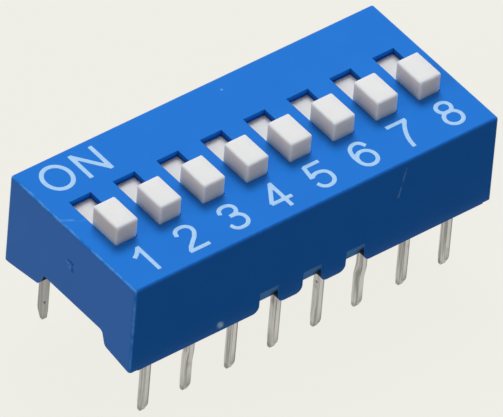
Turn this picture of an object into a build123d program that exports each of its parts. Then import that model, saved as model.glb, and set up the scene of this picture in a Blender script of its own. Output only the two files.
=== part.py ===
from build123d import *
import os

# Eight-way slide switch in a dual in-line body, in millimetres.
# Z = 0 is the board surface, X runs along the row of switches, +Y is the ON side.

# Board pattern
positions = 8
pitch = 2.54
row_spacing = 7.62

# Moulded cover, open below
cover_top = 0.37
cover_long_wall = 0.45
cover_end_wall = 0.49
cover_edge_radius = 0.15

# Raised lower edge of each end wall, between two corner feet that rise a little towards it
foot_length = 2.24
foot_rise = 0.36
recess_height = 1.12
recess_slope = 0.26
recess_offset = 0.34
recess_radius = 0.25

# Notches in the lower edge of each long wall, bevelled above on the outside
notch_count = 3
notch_width = 1.1
notch_height = 0.45
notch_bevel_rise = 0.72
notch_bevel_depth = 0.2
notch_radius = 0.38

# Ridges inside the long walls that hold the base in
ridge_length = 1.2
ridge_depth = 0.12
ridge_height = 0.32
ridge_clearance = 0.03

# Base plate with a rib beside every slider
base_bottom = 0.55
base_floor = 1.18
base_edge = 0.21
base_fit = 0.03
rib_thickness = 0.6
rib_clearance = 0.02

# Flat stamped terminals: a pin below the base, a contact blade above it
terminal_thickness = 0.25
terminal_fit = 0.02
pin_breadth = 0.5
pin_reach = 3.9
tip_length = 0.5
tip_breadth = 0.2
tip_lean = 0.1
tip_shoulder_radius = 0.8
tip_corner_radius = 0.06
blade_height = 1.3
blade_gap = 0.7
blade_lead = 0.15

# Slight sideways set of two handled pins in the front row
bend_start = 1.3
bend_length = 0.6
second_pin_set = 0.06
sixth_pin_set = 0.1

# Slider: the knob above the cover, the flange under it and the block that carries the clip
knob_width = 1.24
knob_length = 1.83
knob_height = 1.08
knob_radius = 0.1
travel = 1.68
slot_side_clearance = 0.02
slot_end_clearance = 0.02
flange_clearance = 0.03
flange_thickness = 0.5
flange_gap = 0.2
flange_overlap = 0.1
block_height = 1.17
block_wall = 0.4
block_clearance = 0.06
blade_clearance = 0.1

# Spring clip that rides over the blades
clip_sheet = 0.1
clip_length = 1.8
clip_width = 1.0
clip_fit = 0.02
clip_bend_radius = 0.12
clip_shoulder_rise = 0.2
clip_pinch_height = 0.65
clip_foot_clearance = 0.15
clip_flare = 0.3
clip_contact_clearance = 0.02
finger_slit = 0.3
finger_slit_rise = 0.1

# Plan sizes that follow from the board pattern
base_length = positions * pitch - 2 * base_fit
base_width = row_spacing + pin_breadth + 2 * base_edge
cavity_length = base_length + 2 * base_fit
cavity_width = base_width + 2 * base_fit
cover_length = cavity_length + 2 * cover_end_wall
cover_width = cavity_width + 2 * cover_long_wall
slot_width = knob_width + 2 * slot_side_clearance
slot_length = knob_length + travel + 2 * slot_end_clearance
flange_width = pitch - flange_gap
flange_length = slot_length + travel + 2 * flange_overlap
block_width = pitch - rib_thickness - 2 * block_clearance
pocket_width = clip_width + 2 * clip_fit
pocket_length = clip_length + 2 * clip_fit
block_length = pocket_length + 2 * block_wall
recess_foot_width = cover_width - 2 * foot_length
recess_top_width = recess_foot_width - 2 * recess_slope

# Levels, stacked from the board upwards
ridge_top = base_bottom - ridge_clearance
base_top = base_bottom + base_floor
blade_top = base_top + blade_height
block_bottom = blade_top + blade_clearance
flange_bottom = block_bottom + block_height
flange_top = flange_bottom + flange_thickness
rib_top = flange_bottom - rib_clearance
cavity_top = flange_top + flange_clearance
cover_height = cavity_top + cover_top
clip_foot = base_top + clip_foot_clearance
clip_pinch = base_top + clip_pinch_height
clip_shoulder = block_bottom + clip_shoulder_rise
clip_top = flange_bottom - clip_fit
finger_slit_top = clip_shoulder + finger_slit_rise

# Sliders rest at the OFF end; their clips come to the middle at the ON end
knob_y = -travel / 2
clip_y = -travel
pin_sets = {2: second_pin_set, 6: sixth_pin_set}


def switch_x(number):
    """Place of one switch along the row, counted from one at the left end."""
    return (number - (positions + 1) / 2) * pitch


def block(length, width, low, high, x=0, y=0):
    """Upright box with its lower and upper faces at given levels."""
    return Pos(x, y, low) * Box(length, width, high - low, align=(Align.CENTER, Align.CENTER, Align.MIN))


def opening(outline, foot_width, rounded_height, radius, depth):
    """Cutter for an opening in a lower edge: the outline on a strip, corners rounded up to a height."""
    strip = Polyline(
        (-foot_width, 0),
        (foot_width, 0),
        (foot_width, -foot_width),
        (-foot_width, -foot_width),
        close=True,
    )
    profile = make_face(Polyline(*outline, close=True)) + make_face(strip)
    corners = profile.vertices().filter_by_position(Axis.Y, 0, rounded_height)
    inner = corners.filter_by_position(Axis.X, -foot_width / 2, foot_width / 2)
    return extrude(fillet(inner, radius), depth / 2, both=True)


def end_recess(x):
    """Shallow arch through one end wall, a little nearer the front."""
    outline = [
        (-cover_width / 2, 0),
        (cover_width / 2, 0),
        (recess_foot_width / 2, foot_rise),
        (recess_top_width / 2, recess_height),
        (-recess_top_width / 2, recess_height),
        (-recess_foot_width / 2, foot_rise),
    ]
    cutter = opening(outline, recess_foot_width, recess_height, recess_radius, 2 * cover_end_wall)
    return Pos(x, -recess_offset, 0) * (Plane.YZ * cutter)


def wall_notch(x):
    """Notch through both long walls with a steep bevel above it on the outside."""
    outline = [
        (-notch_width / 2, 0),
        (notch_width / 2, 0),
        (notch_width / 2, notch_height),
        (-notch_width / 2, notch_height),
    ]
    cutter = Plane.XZ * opening(outline, notch_width, 0, notch_radius, 2 * cover_width)
    slope = Polyline(
        (cover_width / 2, notch_height),
        (cover_width / 2, notch_height + notch_bevel_rise),
        (cover_width / 2 - notch_bevel_depth, notch_height),
        close=True,
    )
    bevel = extrude(Plane.YZ * make_face(slope), notch_width / 2, both=True)
    return Pos(x, 0, 0) * (cutter + bevel + mirror(bevel, Plane.XZ))


def wall_ridges(x):
    """Pair of small wedge ridges inside the long walls, just under the base."""
    wedge = Polyline(
        (cavity_width / 2, ridge_top - ridge_height),
        (cavity_width / 2, ridge_top),
        (cavity_width / 2 - ridge_depth, ridge_top),
        close=True,
    )
    ridge = extrude(Plane.YZ * make_face(wedge), ridge_length / 2, both=True)
    return Pos(x, 0, 0) * (ridge + mirror(ridge, Plane.XZ))


def make_cover():
    """Box open below, with a slot for every knob and a shaped lower edge."""
    shell = block(cover_length, cover_width, 0, cover_height)
    rounded = shell.edges().filter_by(Axis.Z) + shell.faces().sort_by(Axis.Z)[-1].edges()
    shell = fillet(rounded, cover_edge_radius)
    shell -= block(cavity_length, cavity_width, 0, cavity_top)
    for number in range(1, positions + 1):
        shell -= block(slot_width, slot_length, cavity_top, cover_height, switch_x(number))
    for side in (-1, 1):
        shell -= end_recess(side * cover_length / 2)
    for step in range(notch_count):
        shell -= wall_notch((step - (notch_count - 1) / 2) * pitch)
    for side in (-1, 1):
        shell += wall_ridges(side * 2 * pitch)
    return shell


def make_base():
    """Plate with upright ribs between the switches and a slit for every terminal."""
    plate = block(base_length, base_width, base_bottom, base_top)
    for number in range(positions + 1):
        plate += block(rib_thickness, base_width, base_top, rib_top, switch_x(number) + pitch / 2)
    plate &= block(base_length, base_width, base_bottom, rib_top)
    slit_thickness = terminal_thickness + 2 * terminal_fit
    slit_breadth = pin_breadth + 2 * terminal_fit
    for number in range(1, positions + 1):
        for side in (-1, 1):
            slit_y = side * row_spacing / 2
            plate -= block(slit_thickness, slit_breadth, base_bottom, base_top, switch_x(number), slit_y)
    return plate


def make_slider(x):
    """Knob, flange and clip block moulded in one piece, at the OFF end of its travel."""
    knob = block(knob_width, knob_length, flange_bottom, cover_height + knob_height, x, knob_y)
    rounded = knob.edges().filter_by(Axis.Z) + knob.faces().sort_by(Axis.Z)[-1].edges()
    knob = fillet(rounded, knob_radius)
    flange = block(flange_width, flange_length, flange_bottom, flange_top, x, knob_y)
    carrier = block(block_width, block_length, block_bottom, flange_bottom, x, clip_y)
    carrier -= block(pocket_width, pocket_length, block_bottom, flange_bottom, x, clip_y)
    return knob + flange + carrier


def make_clip(x):
    """Folded spring strip: two legs that pinch the blade, flare at the foot and are split in two fingers."""
    pinch_x = terminal_thickness / 2 + clip_contact_clearance
    leg = [
        (pinch_x + clip_flare, clip_foot),
        (pinch_x, clip_pinch),
        (clip_width / 2 - clip_sheet, clip_shoulder),
        (clip_width / 2 - clip_sheet, clip_top - clip_sheet),
    ]
    other_leg = [(-leg_x, leg_z) for leg_x, leg_z in reversed(leg)]
    inside = FilletPolyline(*leg, *other_leg, radius=clip_bend_radius)
    strip = make_face(offset(inside, clip_sheet, side=Side.RIGHT, closed=True))
    clip = extrude(Plane.XZ * strip, clip_length / 2, both=True)
    clip -= block(2 * clip_width, finger_slit, clip_foot, finger_slit_top)
    return Pos(x, clip_y, 0) * clip


def bent_sheet(pin_set):
    """Edge-on shape of a terminal whose pin has been pushed a little towards the first switch."""
    half = terminal_thickness / 2
    edge = Polyline(
        (-half, blade_top),
        (half, blade_top),
        (half, -bend_start),
        (half - pin_set, -bend_start - bend_length),
        (half - pin_set, -pin_reach),
        (-half - pin_set, -pin_reach),
        (-half - pin_set, -bend_start - bend_length),
        (-half, -bend_start),
        close=True,
    )
    return extrude(Plane.XZ * make_face(edge), cover_width, both=True)


def make_terminal(x, side, pin_set=0):
    """Flat stamping: pointed pin, stem through the base and contact blade toward the middle."""
    centre = row_spacing / 2
    outer = centre + pin_breadth / 2
    inner = centre - pin_breadth / 2
    tip_centre = centre - tip_lean
    outline = Polyline(
        (outer, tip_length - pin_reach),
        (tip_centre + tip_breadth / 2, -pin_reach),
        (tip_centre - tip_breadth / 2, -pin_reach),
        (inner, tip_length - pin_reach),
        (inner, base_top),
        (blade_gap / 2, base_top),
        (blade_gap / 2, blade_top - blade_lead),
        (blade_gap / 2 + blade_lead, blade_top),
        (outer, blade_top),
        close=True,
    )
    blank = make_face(outline)
    tip_corners = blank.vertices().sort_by(Axis.Y)[:4]
    outer_shoulder = tip_corners.sort_by(Axis.X)[-1]
    blank = fillet(outer_shoulder, tip_shoulder_radius)
    blank = fillet(blank.vertices().sort_by(Axis.Y)[:2], tip_corner_radius)
    sheet = Plane.YZ * blank
    if pin_set > 0:
        stamping = extrude(sheet, terminal_thickness, both=True) & bent_sheet(pin_set)
    else:
        stamping = extrude(sheet, terminal_thickness / 2, both=True)
    if side < 0:
        stamping = mirror(stamping, Plane.XZ)
    return Pos(x, 0, 0) * stamping


os.makedirs("parts", exist_ok=True)
export_step(make_cover(), "parts/cover.step")
export_step(make_base(), "parts/base.step")
for number in range(1, positions + 1):
    x = switch_x(number)
    export_step(make_slider(x), f"parts/slider_{number}.step")
    export_step(make_clip(x), f"parts/clip_{number}.step")
    export_step(make_terminal(x, -1, pin_sets.get(number, 0)), f"parts/terminal_front_{number}.step")
    export_step(make_terminal(x, 1), f"parts/terminal_back_{number}.step")
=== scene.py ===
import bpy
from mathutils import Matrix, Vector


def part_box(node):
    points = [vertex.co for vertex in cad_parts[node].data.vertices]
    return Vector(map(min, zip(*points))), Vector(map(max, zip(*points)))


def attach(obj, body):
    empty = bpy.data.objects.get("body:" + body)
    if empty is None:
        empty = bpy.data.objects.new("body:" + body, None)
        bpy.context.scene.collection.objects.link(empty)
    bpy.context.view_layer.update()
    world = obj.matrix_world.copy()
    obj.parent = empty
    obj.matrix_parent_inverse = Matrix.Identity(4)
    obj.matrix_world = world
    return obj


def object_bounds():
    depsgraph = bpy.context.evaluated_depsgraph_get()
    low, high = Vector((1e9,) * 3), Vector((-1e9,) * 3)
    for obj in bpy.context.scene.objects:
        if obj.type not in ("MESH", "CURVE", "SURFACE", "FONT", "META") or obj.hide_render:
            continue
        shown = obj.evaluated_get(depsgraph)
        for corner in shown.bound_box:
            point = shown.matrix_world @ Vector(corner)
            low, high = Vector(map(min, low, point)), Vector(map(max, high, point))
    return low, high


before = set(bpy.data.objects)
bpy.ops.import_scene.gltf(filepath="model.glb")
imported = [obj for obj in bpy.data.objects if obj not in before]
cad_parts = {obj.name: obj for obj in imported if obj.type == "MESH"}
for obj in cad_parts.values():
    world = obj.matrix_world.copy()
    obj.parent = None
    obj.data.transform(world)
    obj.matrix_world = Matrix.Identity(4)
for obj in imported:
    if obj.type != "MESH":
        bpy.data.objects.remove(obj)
cad_box = [list(corner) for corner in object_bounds()]

import bpy
from mathutils import Matrix, Vector

# Base: a plate with ribs, injection moulded in black plastic, that closes the cover from below.
# It is pressed in, and the terminals stand in its slits. Only its underside shows, between the pins.
mm = 0.001
base_black = (0.016, 0.017, 0.02, 1)


def add_node(tree, kind, **settings):
    made = tree.nodes.new(kind)
    for key, value in settings.items():
        setattr(made, key, value)
    return made


# a socket takes a link from another socket, or a plain value
def feed(tree, socket, value):
    if isinstance(value, bpy.types.NodeSocket):
        tree.links.new(value, socket)
    else:
        socket.default_value = value


def calc(tree, operation, *terms, clamp=False):
    step = add_node(tree, "ShaderNodeMath", operation=operation, use_clamp=clamp)
    for socket, term in zip(step.inputs, terms):
        feed(tree, socket, term)
    return step.outputs[0]


def times(tree, product, *factors):
    for factor in factors:
        product = calc(tree, "MULTIPLY", product, factor)
    return product


def scale_vector(tree, vector, factor):
    step = add_node(tree, "ShaderNodeVectorMath", operation="SCALE")
    feed(tree, step.inputs[0], vector)
    feed(tree, step.inputs["Scale"], factor)
    return step.outputs["Vector"]


def place_in_mm(tree):
    return scale_vector(tree, add_node(tree, "ShaderNodeTexCoord").outputs["Object"], 1 / mm)


def clouds(tree, place, scale, detail=3.0):
    step = add_node(tree, "ShaderNodeTexNoise")
    feed(tree, step.inputs["Vector"], place)
    feed(tree, step.inputs["Scale"], scale)
    feed(tree, step.inputs["Detail"], detail)
    return step.outputs["Fac"]


def start_effect(name, takes, gives):
    tree = bpy.data.node_groups.new(name, "ShaderNodeTree")
    for socket, kind in takes:
        tree.interface.new_socket(name=socket, in_out="INPUT", socket_type="NodeSocket" + kind)
    for socket, kind in gives:
        tree.interface.new_socket(name=socket, in_out="OUTPUT", socket_type="NodeSocket" + kind)
    return tree, add_node(tree, "NodeGroupInput").outputs, add_node(tree, "NodeGroupOutput").inputs


def use_effect(tree, effect, **values):
    step = add_node(tree, "ShaderNodeGroup", node_tree=effect)
    for key, value in values.items():
        feed(tree, step.inputs[key.replace("_", " ")], value)
    return step.outputs


# moulded_skin: broad, faint colour clouds and the fine grain that a spark-eroded mould leaves
cloud_middle = 0.5
broad_share = 0.7
grain_share = 0.3
grain_detail = 2.0
broad_height = 0.5
moulded_skin, given, result = start_effect(
    "moulded_skin",
    [("Colour", "Color"), ("Clouding", "Float"), ("Cloud scale", "Float"), ("Grain scale", "Float")],
    [("Colour", "Color"), ("Height", "Float"), ("Grain", "Float")],
)
place = place_in_mm(moulded_skin)
broad = clouds(moulded_skin, place, given["Cloud scale"])
grain = clouds(moulded_skin, place, given["Grain scale"], grain_detail)
broad_part = times(moulded_skin, broad, broad_share)
grain_part = times(moulded_skin, grain, grain_share)
swing = calc(moulded_skin, "SUBTRACT", calc(moulded_skin, "ADD", broad_part, grain_part), cloud_middle)
level = calc(moulded_skin, "ADD", times(moulded_skin, swing, given["Clouding"]), 1.0)
feed(moulded_skin, result["Colour"], scale_vector(moulded_skin, given["Colour"], level))
height = calc(moulded_skin, "ADD", grain, times(moulded_skin, broad, broad_height))
feed(moulded_skin, result["Height"], height)
feed(moulded_skin, result["Grain"], grain)


def start_finish(name, gloss=0.5, metallic=0.0):
    finish = bpy.data.materials.new(name)
    finish.use_nodes = True
    shader = finish.node_tree.nodes["Principled BSDF"].inputs
    shader["Metallic"].default_value = metallic
    shader["Specular IOR Level"].default_value = gloss
    return finish, finish.node_tree, shader


# roughness that rises from its smoothest by a share of a mask
def roughen(tree, mask, smoothest, dulling):
    return calc(tree, "ADD", times(tree, mask, dulling), smoothest)


def raise_skin(tree, shader, height, depth, strength):
    bump = add_node(tree, "ShaderNodeBump")
    bump.inputs["Strength"].default_value = strength
    bump.inputs["Distance"].default_value = depth
    feed(tree, bump.inputs["Height"], height)
    feed(tree, shader["Normal"], bump.outputs["Normal"])


def dress(node_name, finish):
    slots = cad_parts[node_name].data.materials
    slots.clear()
    slots.append(finish)


base_finish, tree, shader = start_finish("black_base", gloss=0.35)
skin = use_effect(tree, moulded_skin, Colour=base_black, Clouding=0.5, Cloud_scale=0.6, Grain_scale=10.0)
feed(tree, shader["Base Color"], skin["Colour"])
feed(tree, shader["Roughness"], roughen(tree, skin["Grain"], smoothest=0.42, dulling=0.2))
raise_skin(tree, shader, skin["Height"], depth=0.02 * mm, strength=0.5)
dress("base", base_finish)

# Terminals: sixteen flat pins, stamped from brass strip, plated with dull tin and pressed into the base.
# Drawing the strip left streaks down each pin, stamping left each cut edge part burnished and part torn,
# and handling left brown stains, dark tips and a few pits. The burnished parts also carry a painted
# highlight that fades out towards the tips, and the back row is darker.
switch_count = 8
switch_pitch = 2.54
pin_row = 3.81
pin_half_breadth = 0.25
tin = (0.57, 0.556, 0.55, 1)
tin_streak = (0.27, 0.262, 0.26, 1)
streak_strength = 0.75
rim_starts = pin_half_breadth - 0.1
rim_full = pin_half_breadth - 0.03
dark_rim_strength = 0.6
light_rim_strength = 0.7
tin_pale = (0.63, 0.615, 0.602, 1)
burnished_highlight_across = (0.09, 0.03)
burnished_highlight_down = (-3.9, -2.4)
torn_across = (0.04, 0.11)
torn_strength = 0.18
tin_stain = (0.16, 0.125, 0.085, 1)
stain_scale = 0.9
stain_patches = (0.62, 0.8)
stain_strength = 0.4
stain_dulling = 0.15
tip_stain_down = (-3.55, -3.75)
tip_stain_strength = 0.4
back_row_darkening = (0.0, 3.0)
back_row_darkening_strength = 0.7
tin_pit = (0.045, 0.04, 0.035, 1)
pit_places = [((1.145, -3.80, -1.02), 0.14), ((-9.015, 3.57, -2.77), 0.13)]
pit_raggedness = 0.6
pit_strength = 0.9


def calc_vector(tree, operation, *terms, gives="Vector"):
    step = add_node(tree, "ShaderNodeVectorMath", operation=operation)
    for socket, term in zip(step.inputs, terms):
        feed(tree, socket, term)
    return step.outputs[gives]


# 0 at start and 1 at stop, with a smooth change between them
def fade(tree, value, start, stop):
    step = add_node(tree, "ShaderNodeMapRange", interpolation_type="SMOOTHSTEP")
    feed(tree, step.inputs["Value"], value)
    feed(tree, step.inputs["From Min"], start)
    feed(tree, step.inputs["From Max"], stop)
    return step.outputs["Result"]


# drawn_streaks: long, thin marks along one direction, set by the stretch of the pattern
streak_detail = 4.0
streak_starts = 0.42
streak_softest = 0.72
streak_sharpening = 0.1
drawn_streaks, given, result = start_effect(
    "drawn_streaks",
    [("Stretch", "Vector"), ("Sharpness", "Float")],
    [("Mask", "Float"), ("Height", "Float")],
)
place = calc_vector(drawn_streaks, "MULTIPLY", place_in_mm(drawn_streaks), given["Stretch"])
lines = clouds(drawn_streaks, place, 1.0, streak_detail)
sharpening = times(drawn_streaks, given["Sharpness"], streak_sharpening)
streak_full = calc(drawn_streaks, "SUBTRACT", streak_softest, sharpening)
feed(drawn_streaks, result["Mask"], fade(drawn_streaks, lines, streak_starts, streak_full))
feed(drawn_streaks, result["Height"], lines)

# spot: one ragged round mark
spot_cloud_scale = 5.0
spot_fade = (1.0, 0.1)
spot, given, result = start_effect(
    "spot", [("Place", "Vector"), ("Size", "Float"), ("Raggedness", "Float")], [("Mask", "Float")]
)
place = place_in_mm(spot)
away = calc_vector(spot, "DISTANCE", place, given["Place"], gives="Value")
swing = calc(spot, "SUBTRACT", clouds(spot, place, spot_cloud_scale), cloud_middle)
ragged = times(spot, swing, given["Raggedness"])
reach = calc(spot, "ADD", calc(spot, "DIVIDE", away, given["Size"]), ragged)
feed(spot, result["Mask"], fade(spot, reach, *spot_fade))


def split_place(tree):
    place = place_in_mm(tree)
    step = add_node(tree, "ShaderNodeSeparateXYZ")
    feed(tree, step.inputs[0], place)
    return place, step.outputs


# how far x lies from the nearest whole pitch, to either side
def within_pitch(tree, x):
    return calc(tree, "WRAP", x, switch_pitch / 2, -switch_pitch / 2)


# a colour moved towards another by the product of the shares; a Mix node's colour sockets go by number
def tint(tree, colour, other, *shares):
    share_socket, first_socket, second_socket, result_socket = 0, 6, 7, 2
    step = add_node(tree, "ShaderNodeMix", data_type="RGBA")
    feed(tree, step.inputs[share_socket], times(tree, *shares))
    feed(tree, step.inputs[first_socket], colour)
    feed(tree, step.inputs[second_socket], other)
    return step.outputs[result_socket]


tin_finish, tree, shader = start_finish("dull_tin", metallic=1.0)
streaks = use_effect(tree, drawn_streaks, Stretch=(7.0, 7.0, 0.35), Sharpness=1.0)
colour = tint(tree, tin, tin_streak, streaks["Mask"], streak_strength)
place, axes = split_place(tree)
outward = calc(tree, "SUBTRACT", calc(tree, "ABSOLUTE", axes["Y"]), pin_row)
dark_rim = fade(tree, outward, rim_starts, rim_full)
colour = tint(tree, colour, tin_streak, dark_rim, dark_rim_strength)
light_rim = fade(tree, outward, -rim_starts, -rim_full)
colour = tint(tree, colour, tin_pale, light_rim, light_rim_strength)
aside = within_pitch(tree, calc(tree, "ADD", axes["X"], switch_pitch / 2))
sheared = fade(tree, calc(tree, "ABSOLUTE", outward), rim_full, pin_half_breadth)
# a painted highlight on the burnished part of each cut edge, fading out towards the tip
burnished_highlight = times(tree, fade(tree, aside, *burnished_highlight_across), fade(tree, axes["Z"], *burnished_highlight_down))
colour = tint(tree, colour, tin_pale, sheared, burnished_highlight)
torn = times(tree, sheared, fade(tree, aside, *torn_across))
colour = tint(tree, colour, tin_streak, torn, torn_strength)
stain = fade(tree, clouds(tree, place, stain_scale), *stain_patches)
colour = tint(tree, colour, tin_stain, stain, stain_strength)
colour = tint(tree, colour, tin_stain, fade(tree, axes["Z"], *tip_stain_down), tip_stain_strength)
# the back row darker
colour = tint(tree, colour, tin_streak, fade(tree, axes["Y"], *back_row_darkening), back_row_darkening_strength)
for middle, size in pit_places:
    pit = use_effect(tree, spot, Place=middle, Size=size, Raggedness=pit_raggedness)["Mask"]
    colour = tint(tree, colour, tin_pit, pit, pit_strength)
feed(tree, shader["Base Color"], colour)
roughness = roughen(tree, streaks["Mask"], smoothest=0.33, dulling=0.15)
feed(tree, shader["Roughness"], calc(tree, "ADD", roughness, times(tree, stain, stain_dulling)))
raise_skin(tree, shader, streaks["Height"], depth=0.02 * mm, strength=0.5)
for row in ("front", "back"):
    for number in range(1, switch_count + 1):
        dress(f"terminal_{row}_{number}", tin_finish)

# Spring clips: eight thin strips of phosphor bronze, each folded into a fork and pressed into its slider.
# Their legs wipe along the contact blades, so the metal is bright with fine wiping marks.
bronze = (0.72, 0.46, 0.22, 1)
bronze_wiped = (0.80, 0.58, 0.33, 1)
bronze_finish, tree, shader = start_finish("bright_bronze", metallic=1.0)
streaks = use_effect(tree, drawn_streaks, Stretch=(9.0, 0.6, 3.0), Sharpness=0.5)
feed(tree, shader["Base Color"], tint(tree, bronze, bronze_wiped, streaks["Mask"]))
feed(tree, shader["Roughness"], roughen(tree, streaks["Mask"], smoothest=0.24, dulling=0.12))
raise_skin(tree, shader, streaks["Height"], depth=0.01 * mm, strength=0.4)
for number in range(1, switch_count + 1):
    dress(f"clip_{number}", bronze_finish)

# Sliders: eight white mouldings, each a knob to push, a flange that fills its slot from below
# and a block that carries the spring clip. The plastic lets a little light in under its satin skin.
# The sides are painted warmer than the tops, to offset the blue light that the cover bounces onto them,
# and the foot of each knob is painted darker and bluer, as painted shade and painted bounced blue light.
cover_low, cover_high = (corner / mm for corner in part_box("cover"))
knob_height = 1.08
slider_white = (0.78, 0.78, 0.775, 1)
slider_glow = 0.8
slider_glow_depth = 0.7
slider_side_painted_tint = (0.76, 0.675, 0.56, 1)
side_starts = knob_height - 0.02
side_full = knob_height - 0.2
slider_handled = (0.66, 0.65, 0.62, 1)
grime_scale = 2.2
grime_patches = (0.6, 0.85)
grime_strength = 0.2
slider_foot_painted_shade = (0.50, 0.59, 0.65, 1)
foot_rise = (0.4, 0.0)
out_of_slot = (-0.1, 0.0)
slider_finish, tree, shader = start_finish("white_slider", gloss=0.3)
shader["Subsurface Weight"].default_value = slider_glow
shader["Subsurface Radius"].default_value = (1, 1, 1)
shader["Subsurface Scale"].default_value = slider_glow_depth * mm
skin = use_effect(tree, moulded_skin, Colour=slider_white, Clouding=0.05, Cloud_scale=0.8, Grain_scale=16.0)
place, axes = split_place(tree)
rise = calc(tree, "SUBTRACT", axes["Z"], cover_high.z)
above = fade(tree, rise, *out_of_slot)
# painted warmth on the sides, to offset the blue light that the cover bounces onto them
colour = tint(tree, skin["Colour"], slider_side_painted_tint, fade(tree, rise, side_starts, side_full), above)
grime = fade(tree, clouds(tree, place, grime_scale), *grime_patches)
colour = tint(tree, colour, slider_handled, grime, grime_strength)
# painted shade and painted bounced blue light at the foot of each knob
colour = tint(tree, colour, slider_foot_painted_shade, fade(tree, rise, *foot_rise), above)
feed(tree, shader["Base Color"], colour)
feed(tree, shader["Roughness"], roughen(tree, skin["Grain"], smoothest=0.38, dulling=0.15))
raise_skin(tree, shader, skin["Height"], depth=0.01 * mm, strength=0.4)
for number in range(1, switch_count + 1):
    dress(f"slider_{number}", slider_finish)

# Cover: a thin-walled box, open below, injection moulded in blue plastic with a satin skin.
# It snaps over the base, and the sliders reach up through its eight slots. Its end edges are pale,
# partly rubbed by handling and partly a painted highlight, and its long top edges carry painted shade.
# Handling left a dent in the left end, a shallow bump drawn with painted light and shade, a scratch in
# front and a few pale marks.
cover_blue = (0.013, 0.174, 0.64, 1)
cover_pale_and_highlight = (0.15, 0.46, 0.95, 1)
cover_shade_blue = (0.0, 0.085, 0.42, 1)
cover_shade = (0.002, 0.012, 0.04, 1)
painted_edge_width = 0.06
edge_cloud_scale = 5.0
edge_patch_scale = 2.2
edge_patch_range = (0.3, 0.6)
edge_rub_and_highlight_strength = 0.45
long_edge_ends = (0.1, 0.3)
long_edge_shade_strength = 0.5
cover_hollow_shade = (0.0, 0.21, 0.88, 1)
cover_hollow_deep_shade = (0.0, 0.045, 0.42, 1)
hollow_from_end = (0.05, 0.3)
hollow_from_side = (0.2, 0.45)
hollow_from_top = (0.0, 0.06)
hollow_deepens = (0.06, 0.38)
hollow_dulling = 0.6
slot_half_width = 0.64
slot_side_across = (slot_half_width - 0.04, slot_half_width)
slot_side_shade_strength = 0.6
dent_highlight_spots = [(0.27, 3.28, 0.12), (0.16, 3.24, 0.14), (0.04, 3.06, 0.18)]
dent_highlight_strength = 0.3
dent_raggedness = 0.6
dent_shade_spots = [
    (0.16, 3.41, 0.12),
    (-0.03, 3.42, 0.14),
    (-0.15, 3.38, 0.14),
    (-0.16, 3.13, 0.12),
    (-0.18, 2.99, 0.15),
]
dent_pit_depth = 0.3
notch_edges = (0.58, 0.56)
notch_top = 1.17
notch_roof = (notch_top + 0.02, notch_top)
notch_wall = (0.0, 0.04)
notch_row_half = 3.2
notch_row_ends = (cover_high.x - notch_row_half, cover_high.x - notch_row_half + 0.1)
notch_reflection_strength = 0.75
notch_shade_across = (0.0, 0.5)
notch_shade_down = (1.0, 0.55)
scratch_from = (5.21, cover_low.y, 4.75)
scratch_to = (4.87, cover_low.y, 3.16)
scratch_width = 0.07
scratch_strength = 0.3
top_line_from = (-10.55, 1.0, cover_high.z)
top_line_to = (-9.68, 0.42, cover_high.z)
top_line_width = 0.11
top_line_strength = 0.3
cover_pale_mark = (0.44, 0.74, 1.0, 1)
speck_spots = [((1.07, 3.95, cover_high.z), 0.09), (scratch_to, 0.12)]
speck_raggedness = 0.4
speck_strength = 0.34
cover_chip_glint = (0.49, 0.78, 1.0, 1)
chip_glint_spots = [(-5.42, 0.45, 0.22), (-5.37, 0.38, 0.26), (-5.32, 0.31, 0.22)]
chip_raggedness = 0.1
mark_dulling = 0.3
grain_height = 0.06

# scratch: one thin straight line that fades in and out along its length
line_fade = (1.0, 0.2)
line_cloud_scale = 2.5
line_patches = (0.3, 0.6)
scratch, given, result = start_effect(
    "scratch", [("From", "Vector"), ("To", "Vector"), ("Width", "Float")], [("Mask", "Float")]
)
place = place_in_mm(scratch)
along = calc_vector(scratch, "SUBTRACT", given["To"], given["From"])
out = calc_vector(scratch, "SUBTRACT", place, given["From"])
reached = calc_vector(scratch, "DOT_PRODUCT", out, along, gives="Value")
whole = calc_vector(scratch, "DOT_PRODUCT", along, along, gives="Value")
nearest = scale_vector(scratch, along, calc(scratch, "DIVIDE", reached, whole, clamp=True))
away = calc_vector(scratch, "DISTANCE", out, nearest, gives="Value")
line = fade(scratch, calc(scratch, "DIVIDE", away, given["Width"]), *line_fade)
patches = fade(scratch, clouds(scratch, place, line_cloud_scale), *line_patches)
feed(scratch, result["Mask"], times(scratch, line, patches))

cover_finish, tree, shader = start_finish("blue_cover", gloss=0.15)
skin = use_effect(tree, moulded_skin, Colour=cover_blue, Clouding=0.16, Cloud_scale=0.45, Grain_scale=14.0)
place, axes = split_place(tree)
end_depth = calc(tree, "SUBTRACT", cover_high.x, calc(tree, "ABSOLUTE", axes["X"]))
side_depth = calc(tree, "SUBTRACT", cover_high.y, calc(tree, "ABSOLUTE", axes["Y"]))
top_depth = calc(tree, "SUBTRACT", cover_high.z, axes["Z"])
swing = calc(tree, "SUBTRACT", clouds(tree, place, edge_cloud_scale), cloud_middle)
ragged = times(tree, swing, 2 * painted_edge_width)


# a ragged line along the edge where two faces meet, from the depths below both
def edge_line(first, second):
    depth = calc(tree, "ADD", calc(tree, "MAXIMUM", first, second), ragged)
    return fade(tree, depth, 2 * painted_edge_width, painted_edge_width)


# the end edges, partly rubbed pale and partly a painted highlight
end_edge_rub_and_highlight = calc(tree, "MAXIMUM", edge_line(end_depth, side_depth), edge_line(end_depth, top_depth))
edge_patches = fade(tree, clouds(tree, place, edge_patch_scale), *edge_patch_range)
colour = tint(tree, skin["Colour"], cover_pale_and_highlight, end_edge_rub_and_highlight, edge_rub_and_highlight_strength, edge_patches)
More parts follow.
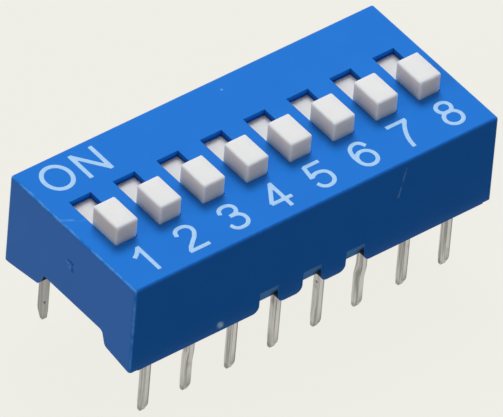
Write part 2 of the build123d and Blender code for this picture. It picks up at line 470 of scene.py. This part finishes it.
# painted shade along the long top edges
long_edge_shade = times(tree, edge_line(side_depth, top_depth), fade(tree, end_depth, *long_edge_ends))
colour = tint(tree, colour, cover_shade_blue, long_edge_shade, long_edge_shade_strength)

# the walls of the slots carry painted shade: bright at the rim, deeper below, and darker on the sides that
# face each other
deep_side = fade(tree, side_depth, *hollow_from_side)
deep_top = fade(tree, top_depth, *hollow_from_top)
hollow_shade = times(tree, fade(tree, end_depth, *hollow_from_end), times(tree, deep_side, deep_top))
hollow_shade_colour = tint(tree, cover_hollow_shade, cover_hollow_deep_shade, fade(tree, top_depth, *hollow_deepens))
from_slot = within_pitch(tree, calc(tree, "ADD", axes["X"], switch_pitch / 2))
slot_side_shade = fade(tree, calc(tree, "ABSOLUTE", from_slot), *slot_side_across)
hollow_shade_colour = tint(tree, hollow_shade_colour, cover_shade, slot_side_shade, slot_side_shade_strength)
colour = tint(tree, colour, hollow_shade_colour, hollow_shade)


def join_spots(middles, raggedness):
    joined = None
    for middle, size in middles:
        mark = use_effect(tree, spot, Place=middle, Size=size, Raggedness=raggedness)["Mask"]
        joined = calc(tree, "MAXIMUM", joined, mark) if joined else mark
    return joined


# the dent in the left end: a shallow bump, with a painted highlight on its lit side and painted shade on
# its dark side
dent_highlight = join_spots([((cover_low.x, y, z), size) for y, z, size in dent_highlight_spots], dent_raggedness)
colour = tint(tree, colour, cover_pale_and_highlight, dent_highlight, dent_highlight_strength)
dent_shade_and_pit = join_spots([((cover_low.x, y, z), size) for y, z, size in dent_shade_spots], dent_raggedness)
colour = tint(tree, colour, cover_shade_blue, dent_shade_and_pit)

# the bevelled notches in the lower edge: a painted reflection lightens each bevel, and painted shade
# darkens one corner of each
across = within_pitch(tree, axes["X"])
notched = fade(tree, calc(tree, "ABSOLUTE", across), *notch_edges)
notched = times(tree, notched, fade(tree, end_depth, *notch_row_ends))
notched = times(tree, notched, fade(tree, axes["Z"], *notch_roof), fade(tree, side_depth, *notch_wall))
colour = tint(tree, colour, cover_pale_and_highlight, notched, notch_reflection_strength)
shade_down = fade(tree, axes["Z"], *notch_shade_down)
corner_shade = times(tree, fade(tree, across, *notch_shade_across), shade_down)
colour = tint(tree, colour, cover_shade, notched, corner_shade)

# the scratch in front, the line and the speck on top, and the chip low on the front wall, painted bright as
# a glint
top_line = use_effect(tree, scratch, From=top_line_from, To=top_line_to, Width=top_line_width)["Mask"]
colour = tint(tree, colour, cover_pale_and_highlight, top_line, top_line_strength)
front_line = use_effect(tree, scratch, From=scratch_from, To=scratch_to, Width=scratch_width)["Mask"]
specks = times(tree, join_spots(speck_spots, speck_raggedness), speck_strength)
faint = calc(tree, "MAXIMUM", times(tree, front_line, scratch_strength), specks)
colour = tint(tree, colour, cover_pale_mark, faint)
chip_glint = join_spots([((x, cover_low.y, z), size) for x, z, size in chip_glint_spots], chip_raggedness)
feed(tree, shader["Base Color"], tint(tree, colour, cover_chip_glint, chip_glint))

marks = calc(tree, "MAXIMUM", calc(tree, "MAXIMUM", faint, chip_glint), notched)
dull_marks = times(tree, calc(tree, "MAXIMUM", marks, dent_shade_and_pit), mark_dulling)
dull = calc(tree, "MAXIMUM", dull_marks, times(tree, hollow_shade, hollow_dulling))
roughness = roughen(tree, skin["Grain"], smoothest=0.31, dulling=0.14)
feed(tree, shader["Roughness"], calc(tree, "ADD", roughness, dull, clamp=True))
grain_rise = times(tree, skin["Height"], grain_height)
height = calc(tree, "SUBTRACT", grain_rise, times(tree, dent_shade_and_pit, dent_pit_depth))
raise_skin(tree, shader, height, depth=0.05 * mm, strength=0.6)
dress("cover", cover_finish)

# Printed marks: ON at the back left and the numbers 1 to 8 in front of the slots.
# White ink, pad printed on the top face in one pass, so each mark is a low rounded film
# that lets a little of the blue through.
letter_stroke = 0.235
number_stroke = 0.218
ink_film = 0.014
ink_bed = 0.002
ink_voxel = 0.02
pen_facets = 5
pen_steps = 10
corner_softening = 0.5
corner_passes = 8
on_row = 3.4
letter_o_middle = -8.945
letter_n_middle = -7.01
number_row = -3.22
ink_white = (0.41, 0.63, 0.88, 1)
ink_thin = (0.26, 0.50, 0.85, 1)
thin_scale = 3.2
thin_patches = (0.35, 0.7)
thin_strength = 0.3


def ring(x, y, half_width, half_height):
    return [(x - half_width, y), (x, y + half_height), (x + half_width, y), (x, y - half_height)]


# Each figure is a list of pen strokes, as (kind, points) about its own middle.
letter_o = [("ring", ring(0.0, 0.0, 0.715, 0.785))]
letter_n = [
    ("straight", [(-0.59, -0.89), (-0.59, 0.87)]),
    ("straight", [(0.59, -0.89), (0.59, 0.87)]),
    ("straight", [(-0.60, 0.80), (0.60, -0.82)]),
]
number_1 = [
    ("straight", [(0.13, 0.87), (0.13, -0.91)]),
    ("curved", [(0.12, 0.80), (-0.13, 0.51), (-0.43, 0.29)]),
]
bow_of_2 = [(-0.47, 0.35), (-0.34, 0.66), (0.02, 0.78), (0.36, 0.64), (0.45, 0.36)]
neck_of_2 = [(0.28, 0.02), (-0.10, -0.33), (-0.40, -0.62), (-0.47, -0.78)]
number_2 = [
    ("curved", bow_of_2 + neck_of_2),
    ("straight", [(-0.58, -0.78), (0.58, -0.78)]),
]
top_of_3 = [(-0.46, 0.40), (-0.32, 0.68), (-0.01, 0.78), (0.31, 0.67), (0.41, 0.42), (0.26, 0.17)]
foot_of_3 = [(0.30, 0.02), (0.49, -0.31), (0.34, -0.67), (-0.01, -0.79), (-0.34, -0.69), (-0.48, -0.40)]
waist_of_3 = [(-0.13, 0.09)]
number_3 = [("curved", top_of_3 + waist_of_3), ("curved", waist_of_3 + foot_of_3)]
number_4 = [
    ("straight", [(0.21, 0.88), (0.21, -0.91)]),
    ("straight", [(-0.58, -0.35), (0.62, -0.35)]),
    ("straight", [(0.20, 0.80), (-0.56, -0.35)]),
]
top_of_5 = [(-0.40, 0.05), (-0.22, 0.17), (0.06, 0.20), (0.39, 0.04), (0.48, -0.28)]
foot_of_5 = [(0.36, -0.62), (0.02, -0.79), (-0.32, -0.69), (-0.48, -0.40)]
number_5 = [
    ("straight", [(-0.36, 0.80), (0.52, 0.80)]),
    ("straight", [(-0.34, 0.84), (-0.475, -0.03)]),
    ("curved", top_of_5 + foot_of_5),
]
top_of_6 = [(0.46, 0.40), (0.31, 0.68), (0.04, 0.78), (-0.28, 0.64), (-0.46, 0.27)]
foot_of_6 = [(-0.49, -0.12), (-0.40, -0.54), (-0.20, -0.74), (0.04, -0.79)]
number_6 = [
    ("curved", top_of_6 + foot_of_6),
    ("ring", ring(0.015, -0.29, 0.475, 0.50)),
]
number_7 = [
    ("straight", [(-0.58, 0.80), (0.58, 0.80)]),
    ("curved", [(0.50, 0.78), (0.20, 0.37), (-0.06, -0.15), (-0.17, -0.55), (-0.21, -0.91)]),
]
number_8 = [("ring", ring(0.0, 0.43, 0.38, 0.35)), ("ring", ring(0.0, -0.34, 0.46, 0.45))]

ink_finish, tree, shader = start_finish("print_ink", gloss=0.2)
place = place_in_mm(tree)
skin = use_effect(tree, moulded_skin, Colour=ink_white, Clouding=0.1, Cloud_scale=1.2, Grain_scale=18.0)
thin = fade(tree, clouds(tree, place, thin_scale), *thin_patches)
feed(tree, shader["Base Color"], tint(tree, skin["Colour"], ink_thin, thin, thin_strength))
feed(tree, shader["Roughness"], roughen(tree, skin["Grain"], smoothest=0.42, dulling=0.15))
raise_skin(tree, shader, skin["Height"], depth=0.01 * mm, strength=0.3)


def print_figure(name, strokes, middle, stroke_width):
    bpy.ops.object.select_all(action="DESELECT")
    bpy.ops.curve.primitive_bezier_curve_add(location=(0, 0, 0))
    figure = bpy.context.object
    figure.name = name
    pen = figure.data
    pen.splines.clear()
    pen.dimensions = "3D"
    pen.bevel_depth = stroke_width / 2
    pen.bevel_resolution = pen_facets
    pen.resolution_u = pen_steps
    pen.use_fill_caps = True
    for kind, points in strokes:
        spline = pen.splines.new("BEZIER")
        spline.bezier_points.add(len(points) - 1)
        spline.use_cyclic_u = kind == "ring"
        handle = "VECTOR" if kind == "straight" else "AUTO"
        for knot, (x, y) in zip(spline.bezier_points, points):
            knot.co = (middle[0] + x, middle[1] + y, 0)
            knot.handle_left_type = handle
            knot.handle_right_type = handle
    bpy.ops.object.convert(target="MESH")
    figure = bpy.context.object
    fuse = figure.modifiers.new("fuse_strokes", "REMESH")
    fuse.mode = "VOXEL"
    fuse.voxel_size = ink_voxel
    fuse.use_smooth_shade = True
    bpy.ops.object.modifier_apply(modifier=fuse.name)
    soften = figure.modifiers.new("soften_corners", "SMOOTH")
    soften.factor = corner_softening
    soften.iterations = corner_passes
    bpy.ops.object.modifier_apply(modifier=soften.name)
    film_share = ink_film / (stroke_width / 2)
    bpy.ops.object.mode_set(mode="EDIT")
    bpy.ops.mesh.select_all(action="SELECT")
    bpy.ops.transform.resize(value=(1, 1, film_share), center_override=(0, 0, 0))
    bpy.ops.mesh.select_all(action="SELECT")
    bpy.ops.mesh.bisect(plane_co=(0, 0, -ink_bed), plane_no=(0, 0, 1), use_fill=True, clear_inner=True)
    bpy.ops.mesh.select_all(action="SELECT")
    bpy.ops.transform.translate(value=(0, 0, cover_high.z))
    bpy.ops.transform.resize(value=(mm, mm, mm), center_override=(0, 0, 0))
    bpy.ops.object.mode_set(mode="OBJECT")
    figure.data.materials.clear()
    figure.data.materials.append(ink_finish)
    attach(figure, "housing")


print_figure("print_on_o", letter_o, (letter_o_middle, on_row), letter_stroke)
print_figure("print_on_n", letter_n, (letter_n_middle, on_row), letter_stroke)
numbers = [number_1, number_2, number_3, number_4, number_5, number_6, number_7, number_8]
middle_number = (switch_count + 1) / 2
for number, strokes in enumerate(numbers, start=1):
    number_middle = ((number - middle_number) * switch_pitch, number_row)
    print_figure(f"print_{number}", strokes, number_middle, number_stroke)

# Floor and room: a pale paper sweep that starts under the pins' tips and keeps the object's shadow.
# Seen or mirrored, paper and room are one pale tone. Otherwise they send little light back,
# so that the walls and the underside keep their depth.
paper = (0.863, 0.855, 0.798, 1)
paper_bounce = (0.10, 0.10, 0.098, 1)
paper_glow = 0.965
floor_size = 4.0
room_light = 0.24


def seen_or_mirrored(tree):
    rays = add_node(tree, "ShaderNodeLightPath").outputs
    mirrored = calc(tree, "MAXIMUM", rays["Is Glossy Ray"], rays["Is Transmission Ray"])
    return calc(tree, "MAXIMUM", rays["Is Camera Ray"], mirrored)


def coloured(tree, kind, colour):
    made = add_node(tree, kind)
    feed(tree, made.inputs["Color"], colour)
    return made.outputs[0]


def blend_shaders(tree, share, first, second):
    step = add_node(tree, "ShaderNodeMixShader")
    for socket, value in zip(step.inputs, (share, first, second)):
        feed(tree, socket, value)
    return step.outputs[0]


bpy.ops.object.select_all(action="DESELECT")
bpy.ops.mesh.primitive_plane_add(size=floor_size, location=(0, 0, cad_box[0][2]))
floor = bpy.context.object
floor.name = "paper_floor"
paper_finish = bpy.data.materials.new("pale_paper")
paper_finish.use_nodes = True
tree = paper_finish.node_tree
tree.nodes.clear()
lit = coloured(tree, "ShaderNodeBsdfDiffuse", paper)
glow = coloured(tree, "ShaderNodeEmission", paper)
shown = blend_shaders(tree, paper_glow, lit, glow)
bounce = coloured(tree, "ShaderNodeBsdfDiffuse", paper_bounce)
surface = blend_shaders(tree, seen_or_mirrored(tree), bounce, shown)
feed(tree, add_node(tree, "ShaderNodeOutputMaterial").inputs["Surface"], surface)
floor.data.materials.append(paper_finish)

world = bpy.data.worlds.new("studio")
bpy.context.scene.world = world
world.use_nodes = True
tree = world.node_tree
tree.nodes.clear()
room = add_node(tree, "ShaderNodeBackground")
room.inputs["Strength"].default_value = room_light
sweep = coloured(tree, "ShaderNodeBackground", paper)
surface = blend_shaders(tree, seen_or_mirrored(tree), room.outputs[0], sweep)
feed(tree, add_node(tree, "ShaderNodeOutputWorld").inputs["Surface"], surface)

# Lamps: a soft square key lamp at the back right, with weaker square fills at the left and in front.
# All hang about half a metre away and point at the middle of the object.
object_middle = Vector((0, 0, 0))


def hang_lamp(name, place, size, power):
    bpy.ops.object.light_add(type="AREA", location=place)
    lamp = bpy.context.object
    lamp.name = name
    lamp.data.shape = "SQUARE"
    lamp.data.size = size
    lamp.data.energy = power
    lamp.rotation_euler = (object_middle - Vector(place)).to_track_quat("-Z", "Y").to_euler()
    return lamp


key_lamp = hang_lamp("key_lamp", place=(0.12, 0.19, 0.40), size=0.20, power=1.66)
key_lamp.visible_glossy = False
hang_lamp("left_lamp", place=(-0.43, 0.0, 0.25), size=0.30, power=0.74)
hang_lamp("front_lamp", place=(0.0, -0.47, 0.14), size=0.30, power=0.30)

# Dark card: a black sheet held level in front of the cover, just under its lower edge.
# Only reflections meet it, so it stays out of sight and the front wall keeps its deep blue.
card_black = (0.02, 0.02, 0.02, 1)
card_roughness = 0.9
card_length = 0.12
card_depth = 0.08
card_gap = 0.0052
card_height = -0.4 * mm
bpy.ops.object.select_all(action="DESELECT")
bpy.ops.mesh.primitive_plane_add(size=1, location=(0, 0, 0))
card = bpy.context.object
card.name = "dark_card"
card.scale = (card_length, card_depth, 1)
card.location = (cad_box[0][0] + card_length / 2, -card_gap - card_depth / 2, card_height)
card_finish, tree, shader = start_finish("card_black", gloss=0.0)
shader["Base Color"].default_value = card_black
shader["Roughness"].default_value = card_roughness
card.data.materials.append(card_finish)
card.visible_camera = False
card.visible_diffuse = False
card.visible_shadow = False
card.visible_transmission = False

# Camera: a long lens at the angle of the picture, far enough away that edges stay nearly parallel.
# Its place and its two directions across the picture were solved from corners of the cover,
# the knobs and the pins.
camera_place = Vector((-0.329009, -0.374264, 0.457390))
camera_right = Vector((0.78728, -0.61317, 0.06489))
camera_up = Vector((0.37805, 0.56316, 0.7348))
lens_length = 1042.5
film_width = 36.0
nearest_shown = 0.05
farthest_shown = 20.0
bpy.ops.object.camera_add(location=camera_place)
camera = bpy.context.object
camera.name = "long_lens"
camera.data.lens = lens_length
camera.data.sensor_width = film_width
camera.data.clip_start = nearest_shown
camera.data.clip_end = farthest_shown
camera_back = camera_right.cross(camera_up).normalized()
turn = Matrix((camera_right, camera_up, camera_back)).transposed()
camera.rotation_euler = turn.to_euler()
bpy.context.scene.camera = camera
bpy.context.scene.view_settings.view_transform = "Standard"
